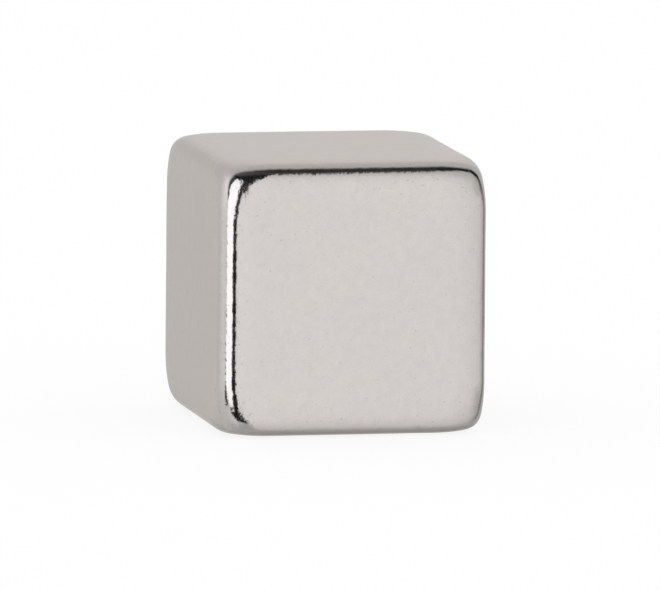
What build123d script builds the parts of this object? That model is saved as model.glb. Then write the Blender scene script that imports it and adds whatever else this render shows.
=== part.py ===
from build123d import *
import math
import os

# Size of the finished block over its six ground faces, in millimetres
block_length = 10.0
block_width = 10.0
block_height = 10.0

# Tumbling before plating rolls every edge over to one radius
edge_radius = 0.55

# It takes more off the eight corners: this much along the diagonal, down to a shallow dome
corner_loss = 0.65
dome_radius = 5.0

# The dome's centre lies on the corner's diagonal, equally deep below all three faces
dome_depth = (dome_radius + corner_loss) / math.sqrt(3)

# The block stands on its lower pole face, with the origin at the middle of that face
mid_height = Plane.XY.offset(block_height / 2)

# What tumbling takes off one corner, with that sharp corner at this piece's own origin
with BuildPart() as corner_waste:
    Box(dome_depth, dome_depth, dome_depth, align=(Align.MAX, Align.MAX, Align.MAX))
    with Locations((-dome_depth, -dome_depth, -dome_depth)):
        Sphere(dome_radius, mode=Mode.SUBTRACT)

# One eighth of the block is shaped and mirrored, so that all eight corners are alike
with BuildPart() as magnet_block:
    with Locations(mid_height.origin):
        Box(
            block_length / 2,
            block_width / 2,
            block_height / 2,
            align=(Align.MIN, Align.MIN, Align.MIN),
        )
    with Locations((block_length / 2, block_width / 2, block_height)):
        add(corner_waste.part, mode=Mode.SUBTRACT)
    mirror(about=Plane.YZ)
    mirror(about=Plane.XZ)
    mirror(about=mid_height)
    # The straight edges and the arcs round each dome roll into one another
    fillet(magnet_block.edges(), edge_radius)

magnet_block.part.label = "magnet_block"

os.makedirs("parts", exist_ok=True)
export_step(magnet_block.part, "parts/magnet_block.step")
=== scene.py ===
# %% [markdown]
# # A block magnet with satin nickel plating
#
# The object is one cube of sintered magnet alloy, 10 mm a side. Its six faces were ground flat,
# it was tumbled until the edges rolled over and the corners were blunted, and then it was plated
# with nickel. There is no second piece: what the eye reads is a very plain form and a finish that
# mirrors the studio in its rolled edges. So this lesson has three subjects: the form of the edges,
# the skin of the nickel, and the panels and lamps that the nickel mirrors.

# %% Load the frame
import math

import bmesh
import bpy
import numpy as np
from mathutils import Matrix, Vector, noise


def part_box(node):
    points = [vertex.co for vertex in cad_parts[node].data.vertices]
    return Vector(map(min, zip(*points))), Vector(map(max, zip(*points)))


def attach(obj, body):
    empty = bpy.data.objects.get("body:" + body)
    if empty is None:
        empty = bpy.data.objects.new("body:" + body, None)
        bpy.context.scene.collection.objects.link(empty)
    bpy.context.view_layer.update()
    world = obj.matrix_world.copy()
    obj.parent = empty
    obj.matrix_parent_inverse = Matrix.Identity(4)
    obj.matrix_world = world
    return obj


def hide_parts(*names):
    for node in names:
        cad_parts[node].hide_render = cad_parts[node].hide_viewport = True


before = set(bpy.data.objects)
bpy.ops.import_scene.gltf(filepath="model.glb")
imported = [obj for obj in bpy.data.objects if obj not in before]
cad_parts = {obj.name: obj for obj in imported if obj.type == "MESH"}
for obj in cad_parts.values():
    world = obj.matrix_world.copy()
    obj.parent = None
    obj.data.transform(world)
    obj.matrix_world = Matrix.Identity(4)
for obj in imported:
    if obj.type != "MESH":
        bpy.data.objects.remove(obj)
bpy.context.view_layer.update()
low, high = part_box("magnet_block")
middle = (low + high) / 2
half = (high.x - low.x) / 2
mm = 0.001
print("block", [round(side / mm, 3) for side in high - low], "mm, middle at", middle)

# %% [markdown]
# ## The tumbled form
#
# A tumbled block isn't a cube with a bevel. Its edges roll over, slowly at first and tighter in the
# middle, its corners are worn further back into domes, and the two run into each other with no
# line between them. A Bevel modifier gives the edges but leaves the corners too full and shows in
# every reflection where it begins. So the form is written as a signed distance: a box with rolled
# edges, cut by a box with much rounder corners, and blended where the two surfaces come close.
# No two corners are struck alike, so each has its own wear, which drifts into its neighbours'.

# %% Sizes of the roll, the domes and each corner's wear
edge_reach = 0.75 * mm
edge_power = 2.5
dome_radius = 3.0 * mm
blend_width = 0.9 * mm
edge_centre = half - edge_reach

# How deep each dome lies below its sharp corner, before it is blended into the edges. A corner is
# given by its side along x, y and z, and the front is at -1 along y
corner_wear = {
    (-1, -1, -1): 0.61 * mm,
    (-1, -1, 1): 0.58 * mm,
    (-1, 1, -1): 0.59 * mm,
    (-1, 1, 1): 0.49 * mm,
    (1, -1, -1): 0.45 * mm,
    (1, -1, 1): 0.65 * mm,
    (1, 1, -1): 0.55 * mm,
    (1, 1, 1): 0.63 * mm,
}
print("the edges reach", round(edge_reach / mm, 3), "mm in from each side")
print("the flat between them is", round(2 * edge_centre / mm, 3), "mm wide")


# %% Signed distance to the tumbled form
def rounded_box(octant, centre, radius, power):
    """Distance to a box rounded from this centre out. Power 2 gives arcs, more a squarer turn."""
    past = octant - centre
    outside = (np.maximum(past, 0) ** power).sum(axis=1) ** (1 / power)
    inside = np.minimum(past.max(axis=1), 0)
    return outside + inside - radius


def wear(points):
    """Wear at these points, drifting from each corner's own to its neighbours'."""
    shares = [
        np.clip((1 + points * corner / half) / 2, 0, 1).prod(axis=1, keepdims=True) * loss
        for corner, loss in corner_wear.items()
    ]
    return sum(shares)


def tumbled(points):
    """Distance to the tumbled block, positive outside. The points are taken from its middle."""
    octant = np.abs(points)
    rolled = rounded_box(octant, edge_centre, edge_reach, edge_power)
    dome_centre = half - (dome_radius + wear(points)) / math.sqrt(3)
    domed = rounded_box(octant, dome_centre, dome_radius, 2)
    near = np.maximum(blend_width - np.abs(rolled - domed), 0) / blend_width
    return np.maximum(rolled, domed) + near**2 * blend_width / 4


# %% Measure how far each corner is worn back
search_steps = 20

diagonals = np.array(list(corner_wear)) / math.sqrt(3)
sharp_corner = half * math.sqrt(3)
reach = np.full((len(diagonals), 1), sharp_corner)
for _ in range(search_steps):
    reach = reach - tumbled(diagonals * reach)[:, None]
worn = (sharp_corner - reach.ravel()) / mm
print("along their diagonals the corners are worn back", worn.round(2), "mm")

# %% [markdown]
# ## A lattice that is fine where the surface turns
#
# Each face of the block is a square lattice. On the flat middle a step of 0.1 mm is enough to
# carry the faint waves of the ground face, but the edge turns through 90 degrees in less than a
# millimetre, and mirrors the whole studio there. The lattice lines therefore crowd at the rim, one
# for every two degrees or so of the roll. A Subdivision Surface would spend its faces evenly, and
# the flats would use up most of them.

# %% Lattice lines across one face
flat_steps = 88
roll_steps = 20

roll_angles = np.linspace(0, math.pi / 4, roll_steps + 1)
rim = edge_centre + edge_reach * np.tan(roll_angles)
flat = np.linspace(-edge_centre, edge_centre, flat_steps + 1)
lines = np.concatenate([-rim[:0:-1], flat, rim[1:]])
steps = len(lines) - 1
print("lattice", steps, "by", steps, "on each face,", 12 * steps**2, "triangles in all")

# %% Points of the six faces, each shared rim point made once
faces = []
seen = {}
places = []


def lattice_point(key):
    """Number of the lattice point with these three line numbers."""
    if key not in seen:
        seen[key] = len(places)
        places.append([lines[k] for k in key])
    return seen[key]


for axis in range(3):
    across, along = (axis + 1) % 3, (axis + 2) % 3
    for side in (0, steps):
        for i in range(steps):
            for j in range(steps):
                ring = []
                for di, dj in ((0, 0), (1, 0), (1, 1), (0, 1)):
                    key = [0, 0, 0]
                    key[axis] = side
                    key[across] = i + di
                    key[along] = j + dj
                    ring.append(lattice_point(tuple(key)))
                faces.append(ring if side else ring[::-1])

places = np.array(places)
print(len(places), "points and", len(faces), "quads on the cube")

# %% [markdown]
# ## Draw the lattice onto the form
#
# The lattice starts as a cube with plain round edges, which is already close. Each point then moves
# along the slope of the distance by as much as is left, a dozen times over, until it lies on the
# form. A Shrinkwrap modifier does this against a mesh. Here there is only a formula to wrap, and
# that is better for a mirror, because a formula has no facets that a reflection could show.

# %% Move each point along the slope until it lies on the form
draw_steps = 12
probe = 0.001 * mm

core = np.clip(places, -edge_centre, edge_centre)
outward = places - core
surface = core + edge_reach * outward / np.linalg.norm(outward, axis=1, keepdims=True)


def slope(points):
    """Unit direction in which the distance to the form grows fastest."""
    rise = [tumbled(points + probe * step) - tumbled(points - probe * step) for step in np.eye(3)]
    rise = np.stack(rise, axis=1)
    return rise / np.linalg.norm(rise, axis=1, keepdims=True)


for _ in range(draw_steps):
    surface = surface - tumbled(surface)[:, None] * slope(surface)
print("largest distance left", float(np.abs(tumbled(surface)).max() / mm), "mm")

# %% [markdown]
# ## Waves left by tumbling
#
# Tumbling stones leave very shallow waves, a few thousandths of a millimetre deep and about a
# millimetre long. They can't be seen as shape, but a mirror image is bent by twice the slope, so
# they make the reflected lines in the edges swell and thin. They are real geometry here: each
# point is moved along the surface's own direction. The ground faces are only pushed in, and far
# less than the edges, so the block keeps its size.

# %% Push the waves into the surface
wave_length = 1.3 * mm
wave_depth = 0.012 * mm
flat_share = 0.12
full_roll = 0.02

normals = slope(surface)
roll = 1 - np.abs(normals).max(axis=1)
turned = np.clip(roll / full_roll, 0, 1)
waves = np.array([noise.noise(Vector(p / wave_length)) for p in surface])
height = wave_depth / 2 * (turned * waves + flat_share * (1 - turned) * (waves - 1))
surface = np.clip(surface + normals * height[:, None], -half, half)
print("waves from", (height.min() / mm).round(4), "to", (height.max() / mm).round(4), "mm high")

# %% [markdown]
# ## The mesh
#
# The points and their rings become one mesh, because the real block is one piece. It is shaded
# smooth: where the lines crowd, the turn from face to face is too small to be seen. The mesh takes
# the place of the plain CAD block, keeps its form and its box, and rides on its body.

# %% Make the mesh
mesh = bpy.data.meshes.new("plated_block")
build = bmesh.new()
corners = [build.verts.new(Vector(p) + middle) for p in surface]
for ring in faces:
    build.faces.new([corners[k] for k in ring]).smooth = True
build.to_mesh(mesh)
build.free()
block = bpy.data.objects.new("plated_block", mesh)
bpy.context.scene.collection.objects.link(block)
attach(block, "root")
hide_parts("magnet_block")
print("plated block has", len(mesh.polygons), "faces")

# %% [markdown]
# ## Shader maths as Python
#
# A finish is easier to read as a formula than as a web of nodes. One small class wraps a node's
# output. Adding, subtracting or multiplying two of them adds a Math node, and the method `node`
# adds any other kind: its settings first, then a value or a link for each socket that needs one.


# %% A socket that can stand in an expression
class Field:
    """The output of a node, which can be used in arithmetic and fed to other nodes."""

    def __init__(self, tree, output=None):
        self.tree = tree
        self.output = output

    def node(self, kind, settings=None, inputs=None, output=0):
        """Adds a node, makes its settings, then fills its sockets with values or links."""
        made = self.tree.nodes.new(kind)
        for name, value in (settings or {}).items():
            setattr(made, name, value)
        for name, value in (inputs or {}).items():
            if isinstance(value, Field):
                self.tree.links.new(value.output, made.inputs[name])
            else:
                made.inputs[name].default_value = value
        return Field(self.tree, made.outputs[output])

    def math(self, operation, *values):
        """Adds a Math node that works on these numbers or fields."""
        return self.node("ShaderNodeMath", {"operation": operation}, dict(enumerate(values)))

    def __add__(self, other):
        return self.math("ADD", self, other)

    def __sub__(self, other):
        return self.math("SUBTRACT", self, other)

    def __rsub__(self, other):
        return self.math("SUBTRACT", other, self)

    def __mul__(self, other):
        return self.math("MULTIPLY", self, other)

    __radd__ = __add__
    __rmul__ = __mul__


def new_material(name):
    """An empty node material, its node tree as a field, and its output node."""
    material = bpy.data.materials.new(name)
    material.use_nodes = True
    tree = material.node_tree
    tree.nodes.clear()
    return material, Field(tree), tree.nodes.new("ShaderNodeOutputMaterial")


# %% Helpers for grain, fades and colours
mixed_colour = 2


def grain(place, size, detail=2.0):
    """Noise from 0 to 1 whose lumps are about this long, in metres."""
    return place.node(
        "ShaderNodeTexNoise",
        {"noise_dimensions": "3D"},
        {"Vector": place, "Scale": 1 / size, "Detail": detail},
        "Fac",
    )


def fade(field, start, end):
    """0 at start and 1 at end, whichever is larger, with a smooth way between them."""
    return field.node(
        "ShaderNodeMapRange",
        {"interpolation_type": "SMOOTHSTEP"},
        {"Value": field, "From Min": start, "From Max": end},
    )


def blend(amount, first, second):
    """Mix of two colours. A Mix node has one result for each type, and colour is the third."""
    return amount.node(
        "ShaderNodeMix",
        {"data_type": "RGBA"},
        {"Factor": amount, "A": first, "B": second},
        mixed_colour,
    )


# %% [markdown]
# ## Satin nickel
#
# Nickel plating is a metal mirror with a warm grey colour. Its satin look comes from a fine pebble
# that the plating takes over from the tumbled alloy. Its lumps are a third of a millimetre across
# and less, so it is bump and not mesh. On the ground faces it is faint. On the rolled edges, where
# the stones struck hardest, it tears the border of every reflection. The colour drifts very little
# between yellow and rose, and here and there a pore of the alloy shows as a soft dark speck.


# %% How far the surface has turned away from a ground face
def part(field, axis):
    """One part of a vector, with its sign dropped."""
    return field.node("ShaderNodeSeparateXYZ", {}, {"Vector": field}, axis).math("ABSOLUTE")


turn_start = 0.0005
turn_end = 0.03

nickel, start, out = new_material("satin_nickel")
place = start.node("ShaderNodeTexCoord", output="Object")
facing = start.node("ShaderNodeTexCoord", output="Normal")
squareness = part(facing, "X").math("MAXIMUM", part(facing, "Y")).math("MAXIMUM", part(facing, "Z"))
rolled = fade(1 - squareness, turn_start, turn_end)
full_turn = math.degrees(math.acos(1 - turn_end))
print("the pebble is full where the face has turned", round(full_turn), "degrees")

# %% Pebble of the nickel
pebble_size = 0.35 * mm
pebble_height = 0.012 * mm
pebble_detail = 3.0
flat_pebble = 0.025

pebble = grain(place, pebble_size, pebble_detail) - 0.5
relief = start.node(
    "ShaderNodeBump",
    {},
    {
        "Strength": 1.0,
        "Distance": pebble_height,
        "Height": pebble * (flat_pebble + (1 - flat_pebble) * rolled),
    },
    "Normal",
)
print("pebble", pebble_height / mm, "mm high on the edges,", flat_pebble, "of that on the flats")

# %% Colour of the nickel
warm = (0.708, 0.671, 0.643, 1)
rose = (0.698, 0.657, 0.639, 1)
dull = (0.630, 0.598, 0.574, 1)
pore_tint = (0.57, 0.543, 0.522, 1)
bloom_size = 2.5 * mm
bloom_low = 0.35
bloom_high = 0.65
mottle_size = 0.35 * mm
mottle_detail = 4.0
mottle_share = 0.4
grit_size = 0.1 * mm
grit_detail = 1.0
grit_share = 0.3
dull_at = 0.25
clean_at = 0.75
pore_size = 0.1 * mm
pore_start = 0.73
pore_full = 0.82

bloom = grain(place, bloom_size)
mottle = grain(place, mottle_size, mottle_detail)
grit = grain(place, grit_size, grit_detail)
pores = fade(grain(place, pore_size, 0.0), pore_start, pore_full)
clean = blend(fade(bloom, bloom_low, bloom_high), warm, rose)
dull_mottle = fade(mottle, clean_at, dull_at) * mottle_share
dull_grit = fade(grit, clean_at, dull_at) * grit_share
tint = blend(pores, blend(dull_mottle + dull_grit, clean, dull), pore_tint)
print("bloom, mottle and grit are", bloom_size / mm, mottle_size / mm, grit_size / mm, "mm long")

# %% Nickel shader
least_roughness = 0.07
mottle_roughness = 0.08
rim_tint = (0.93, 0.90, 0.875, 1)

shader = start.node(
    "ShaderNodeBsdfPrincipled",
    {},
    {
        "Base Color": tint,
        "Metallic": 1.0,
        "Roughness": least_roughness + mottle_roughness * mottle,
        "Specular Tint": rim_tint,
        "Normal": relief,
    },
)
start.tree.links.new(shader.output, out.inputs["Surface"])
block.data.materials.append(nickel)
print("nickel finish has", len(start.tree.nodes), "nodes")

# %% [markdown]
# ## The floor and the sky
#
# The photo has a plain white surround. A white floor carries the soft shadow, and an even white sky
# lights it. The camera sees the floor part lit and part glowing at a strength of 1, which is white,
# so the shadow stays but is as faint as on a light table. A stronger lamp would whiten the floor
# too, but it would also burn out the nickel. The formula counts what a mirror or a glass passes on
# as well, so that it would show the same white. In this studio the sheet is kept out of
# reflections, because the nickel mirrors the tent's own ground.

# %% Floor sheet
floor_size = 1.2

floor_mesh = bpy.data.meshes.new("floor")
sheet = bmesh.new()
bmesh.ops.create_grid(sheet, x_segments=8, y_segments=8, size=floor_size / 2)
sheet.to_mesh(floor_mesh)
sheet.free()
floor = bpy.data.objects.new("floor", floor_mesh)
floor.location.z = low.z
bpy.context.scene.collection.objects.link(floor)
floor.visible_glossy = False
print("floor is", floor_size, "m wide")

# %% Floor paper, part lit and part glowing
floor_glow = 0.86
paper_white = (0.97, 0.97, 0.97, 1)

paper, start, out = new_material("white_paper")
lit = start.node("ShaderNodeBsdfDiffuse", {}, {"Color": paper_white})
white = start.node("ShaderNodeEmission", {}, {"Color": (1, 1, 1, 1), "Strength": 1.0})
looks = [
    start.node("ShaderNodeLightPath", output=kind + " Ray")
    for kind in ("Is Camera", "Is Glossy", "Is Transmission")
]
surface_mix = start.node("ShaderNodeMixShader", {}, {0: sum(looks) * floor_glow, 1: lit, 2: white})
start.tree.links.new(surface_mix.output, out.inputs["Surface"])
floor.data.materials.append(paper)
print("the camera sees", floor_glow, "of glow and", round(1 - floor_glow, 2), "of lit paper")

# %% Sky
world = bpy.data.worlds.new("sky")
world.use_nodes = True
bpy.context.scene.world = world
world.node_tree.nodes["Background"].inputs["Color"].default_value = (1, 1, 1, 1)
world.node_tree.nodes["Background"].inputs["Strength"].default_value = 1.0
print("sky is white at a strength of 1")

# %% [markdown]
# ## The studio that the nickel mirrors
#
# A metal shows nothing but what stands round it. The real magnet stood in a white tent with a big
# softbox at the front left and a dark slot beside it, where the camera looked in. Its rolled edges
# squeeze all of that into thin lines. Real lamps would do, but each one would also light the floor.
# So the studio is a set of curved patches that only reflections see. Each vertex carries the colour
# of its own glow, and a cover from 0 to 1 that lets the patch's side borders fade out.


# %% Direction and glow
def toward(azimuth, elevation):
    """Direction from the block, by degrees to the right of the front and degrees up."""
    a = math.radians(azimuth)
    e = math.radians(elevation)
    return Vector((math.sin(a) * math.cos(e), -math.cos(a) * math.cos(e), math.sin(e)))


studio, start, out = new_material("studio_glow")
glow = start.node("ShaderNodeAttribute", {"attribute_name": "glow"}, output="Color")
cover = start.node("ShaderNodeAttribute", {"attribute_name": "cover"}, output="Fac")
lamp = start.node(
    "ShaderNodeBsdfPrincipled",
    {},
    {
        "Base Color": (0, 0, 0, 1),
        "Roughness": 1.0,
        "Specular IOR Level": 0.0,
        "Emission Color": glow,
        "Emission Strength": 1.0,
    },
)
clear = start.node("ShaderNodeBsdfTransparent")
mixed = start.node("ShaderNodeMixShader", {}, {0: cover, 1: clear, 2: lamp})
start.tree.links.new(mixed.output, out.inputs["Surface"])
print("studio glow has", len(start.tree.nodes), "nodes")


# %% A curved patch of the studio
def patch(name, rows, glow_at, distance, columns=16, soft=0, tint=(1, 1, 1)):
    """A patch seen only in reflections. Each row gives an elevation and two azimuths."""
    sheet = bmesh.new()
    glows = sheet.verts.layers.float_color.new("glow")
    covers = sheet.verts.layers.float.new("cover")
    grid = []
    for elevation, left, right in rows:
        line = []
        for c in range(columns + 1):
            way = toward(left + (right - left) * c / columns, elevation)
            vertex = sheet.verts.new(way * distance + middle)
            vertex[glows] = [glow_at(way) * share for share in tint] + [1]
            vertex[covers] = min(1, min(c, columns - c) / soft) if soft else 1
            line.append(vertex)
        grid.append(line)
    for lower, upper in zip(grid, grid[1:]):
        for c in range(columns):
            sheet.faces.new([lower[c], lower[c + 1], upper[c + 1], upper[c]])
    patch_mesh = bpy.data.meshes.new(name)
    sheet.to_mesh(patch_mesh)
    sheet.free()
    made = bpy.data.objects.new(name, patch_mesh)
    bpy.context.scene.collection.objects.link(made)
    for kind in ("camera", "diffuse", "transmission", "volume_scatter", "shadow"):
        setattr(made, "visible_" + kind, False)
    made.data.materials.append(studio)
    print(name, "hangs", distance, "m away and has", len(patch_mesh.polygons), "faces")


def smooth(value, start, end):
    """0 at start and 1 at end, with a smooth way between them."""
    share = min(max((value - start) / (end - start), 0), 1)
    return share * share * (3 - 2 * share)


def even(level):
    """The same glow all over a patch."""
    return lambda way: level


# %% [markdown]
# ## The tent
#
# The flat faces mirror wide stretches of the tent's cloth, and take their grey from it. Such cloth
# is never even: it is brightest where a lamp stands behind it, and dim near the ground and at the
# top. One formula gives its glow in every direction, from a slope between front and back, some
# soft spots of light and shade, and a dark hole overhead. Many small lamps could do the same, but
# a formula is easier to read, and each of its numbers can be changed without moving the others.

# %% Numbers of the tent
wall_glow = 0.68
front_gain = 0.32
height_loss = 0.33
right_loss = 0.08
right_height_loss = 0.12
right_ground_loss = 0.15
ground_loss = 0.06
zenith_glow = 0.55
zenith_power = 6

# The hole overhead: the height of its border, how its back border slants, and how dark it is
hole_low = 0.75
hole_high = 0.88
hole_slant = 0.19
hole_back = -0.16
hole_front = 0.2
hole_glow = 0.07
hole_right_loss = 0.15

# Each light or shade on the tent: azimuth, elevation, gain, and how tightly it is gathered
tent_lights = [
    (-87, 18, 0.36, 8),  # the wall lamp at the left
    (162, 22, 0.13, 20),  # light behind, to the right
    (-165, 15, -0.05, 12),  # shade behind, to the left
    (-156, -9, 0.07, 24),  # low light behind
    (6, 32, 0.08, 60),  # small light above the camera
    (60, 24, -0.06, 16),  # shade at the front right
    (76, -42, -0.10, 24),  # shade on the ground at the right
    (-40, -57, -0.11, 14),  # shade on the ground at the front left
    (36, -56, 0.09, 16),  # light on the ground at the front right
    (-172, -32, -0.11, 16),  # shade low behind
    (152, -60, -0.17, 16),  # shade on the ground behind
    (0, -90, -0.14, 24),  # shade straight below
]


# %% Tent walls, ceiling and ground
def overhead(way):
    """0 at the walls and 1 where the ceiling's hole is open."""
    return smooth(way.z, hole_low, hole_high)


def tent(way):
    """Glow of the tent: bright in front and at the left, dimmer below, with a dark hole overhead."""
    front, right, up, down = max(-way.y, 0), max(way.x, 0), max(way.z, 0), max(-way.z, 0)
    level = wall_glow + front_gain * front**2 - height_loss * up**2 * front
    level -= right * (right_loss + right_height_loss * up + right_ground_loss * down)
    level -= ground_loss * down * (1 + way.y)
    for azimuth, elevation, gain, tightness in tent_lights:
        level += gain * max(way.dot(toward(azimuth, elevation)), 0) ** tightness
    level += (zenith_glow - level) * up**zenith_power
    hole = overhead(way) * smooth(hole_slant * way.x - way.y, hole_back, hole_front)
    return level + (hole_glow - hole_right_loss * way.x - level) * hole


tent_rows = [(elevation, -180, 180) for elevation in range(-89, 90)]
patch("tent", tent_rows, tent, distance=0.34, columns=240)
ahead, above = tent(toward(0, 0)), tent(toward(0, 90))
print("the tent glows by", round(ahead, 2), "in front and", round(above, 2), "overhead")

# %% [markdown]
# ## The softbox and the slot beside it
#
# The near left edge of the block mirrors a white band with black beside it. The white is the
# softbox, and the black is the slot where the camera looks in, with the shade of the softbox's rim
# and foot. Each is an outline of a few rows, from the lowest up. What hangs nearer covers what is
# further off, so the softbox comes first, then the slot, then the shade, whose sides fade out.

# %% Softbox, a little cooler than the tent
softbox_peak = 1.49
softbox_fall = 0.9
softbox_height = 0.05
cool_white = (0.985, 1.02, 1.055)


def softbox_glow(way):
    """Brightest across the middle, as a lamp behind cloth is."""
    return softbox_peak - softbox_fall * (way.z - softbox_height) ** 2


softbox_rows = [
    (-25, -36.5, -26), (-23, -41, -23), (-21, -44, -23), (-18, -50, -25), (-14, -58, -26),
    (-10, -62.5, -27), (-8, -66, -28.5), (-5, -66, -27), (-3, -66, -22), (0, -65.5, -18.5),
    (4, -64.5, -14), (9, -63.5, -13), (15, -61.5, -11.5), (20, -56.5, -11.5), (24, -52.5, -12.5),
    (30, -46, -15.5), (35, -42, -19.5), (38, -39, -22.5), (41, -36.5, -26.5), (42, -34, -31),
]
patch("softbox", softbox_rows, softbox_glow, distance=0.25, soft=1, tint=cool_white)

# %% Slot where the camera looks in
slot_dark = 0.01
slot_gain = 0.06
slot_gain_left = -0.35
slot_gain_right = -0.1


def slot_glow(way):
    """Nearly black, a little lighter at the top right."""
    return slot_dark + slot_gain * overhead(way) * smooth(way.x, slot_gain_left, slot_gain_right)


slot_rows = [
    (-40, -14, -4), (-36, -20, -4), (-32, -29, -5), (-29, -38, -5), (-26, -43, -6), (-22, -40, -7),
    (-18, -30, -6), (-14, -30, -7), (-10, -34, -10), (-8, -36, -14), (-5, -34, -10), (-2, -30, -5),
    (4, -22, -3), (14, -19, -2), (22, -20, 1), (28, -20, 3), (33, -24, 6), (39, -32, 9),
    (44, -40, 13), (49, -45, 18), (54, -50, 22), (58, -46, 25), (62, -40, 30),
]
patch("camera_slot", slot_rows, slot_glow, distance=0.27)

# %% Shade of the softbox's rim and foot
shade_glow = 0.05

rim_rows = [
    (6, -72, -58), (12, -74, -54), (18, -78, -45), (24, -80, -40), (36, -81, -30), (48, -84, -10),
    (56, -86, 0), (62, -76, 0),
]
foot_rows = [
    (-22, -70, -50), (-19, -76, -48), (-15, -76, -54), (-11, -70, -60), (-8, -65.5, -63),
]
patch("softbox_rim", rim_rows, even(shade_glow), distance=0.29, soft=6)
patch("softbox_foot", foot_rows, even(shade_glow), distance=0.29, soft=5)

# %% [markdown]
# ## The pole, the card and the stand's painted shade
#
# The right rim of the front face ends in a darker line, from a pole at the right that darkens
# upwards, and a white card low beside it puts light inside that line. The lower rim mirrors the
# ground, where a soft grey sheet is painted shade, the shadow of the camera's stand. They are
# patches like the others, a little further off, so that nothing of the softbox is covered by them.

# %% Pole at the right
pole_foot_glow = 0.30
pole_loss = 0.29
pole_low = -0.1
pole_high = 0.35


def pole_glow(way):
    """Grey at its foot and nearly black higher up."""
    return pole_foot_glow - pole_loss * smooth(way.z, pole_low, pole_high)


pole_rows = [
    (-36, 70, 92), (-28, 76, 100), (-22, 82, 108), (-16, 86, 116), (-10, 98, 128), (-4, 102, 130),
    (2, 90, 120), (8, 84, 110), (14, 80, 106), (20, 76, 104), (28, 68, 101), (40, 64, 102),
    (50, 60, 102), (58, 48, 96), (66, 34, 86),
]
patch("pole", pole_rows, pole_glow, distance=0.30, soft=5)

# %% Card beside the pole, and the painted shade of the camera's stand on the ground
card_front_glow = 1.04
card_right_loss = 0.25
# Glow of the stand patch, a painted shade: the shadow of the camera's stand on the ground
stand_shade_glow = 0.45


def card_glow(way):
    """Brightest in front, less towards the right."""
    return card_front_glow - card_right_loss * way.x


card_rows = [(-12, 28, 90), (-9, 20, 98), (-2, 20, 96), (4, 28, 88)]
stand_shade_rows = [
    (-80, -44, 40), (-70, -30, 12), (-60, -22, 5), (-50, -19, 3), (-42, -17, 1), (-38, -15, 0),
]
patch("card", card_rows, card_glow, distance=0.32, soft=5)
# The stand patch is a grey sheet of painted shade, seen only in reflections
patch("stand", stand_shade_rows, even(stand_shade_glow), distance=0.30, soft=4)

# %% [markdown]
# ## The camera
#
# The photo was taken from a little to the left and a little above, with a long lens: the far side
# of the block is hardly smaller than the near one. The place and the lens were found by laying the
# outline of the form over the outline in the photo.

# %% Camera
photo_width = 660
view_azimuth = -12.85
view_elevation = 7.98
view_roll = 0.68
view_distance = 0.5
pixels_per_mm = 27.53
aim_right = 0.195 * mm
aim_below = 0.479 * mm
sensor_width = 36.0

camera_data = bpy.data.cameras.new("camera")
camera = bpy.data.objects.new("camera", camera_data)
bpy.context.scene.collection.objects.link(camera)
bpy.context.scene.camera = camera
camera_data.sensor_width = sensor_width
camera_data.lens = sensor_width * view_distance * pixels_per_mm / mm / photo_width
camera_data.clip_start = 0.01
back = toward(view_azimuth, view_elevation)
right = Vector((0, 0, 1)).cross(back).normalized()
up = back.cross(right)
turn = math.radians(view_roll)
rolled_right = right * math.cos(turn) + up * math.sin(turn)
rolled_up = up * math.cos(turn) - right * math.sin(turn)
stand = middle + back * view_distance + rolled_right * aim_right - rolled_up * aim_below
axes = Matrix((rolled_right, rolled_up, back)).transposed()
camera.matrix_world = Matrix.Translation(stand) @ axes.to_4x4()
print("lens", round(camera_data.lens, 1), "mm at", view_distance, "m")

# %% [markdown]
# ## Finish
#
# The Standard view shows each colour as it is written, with no film look laid over it.

# %% Finish
bpy.context.scene.view_settings.view_transform = "Standard"
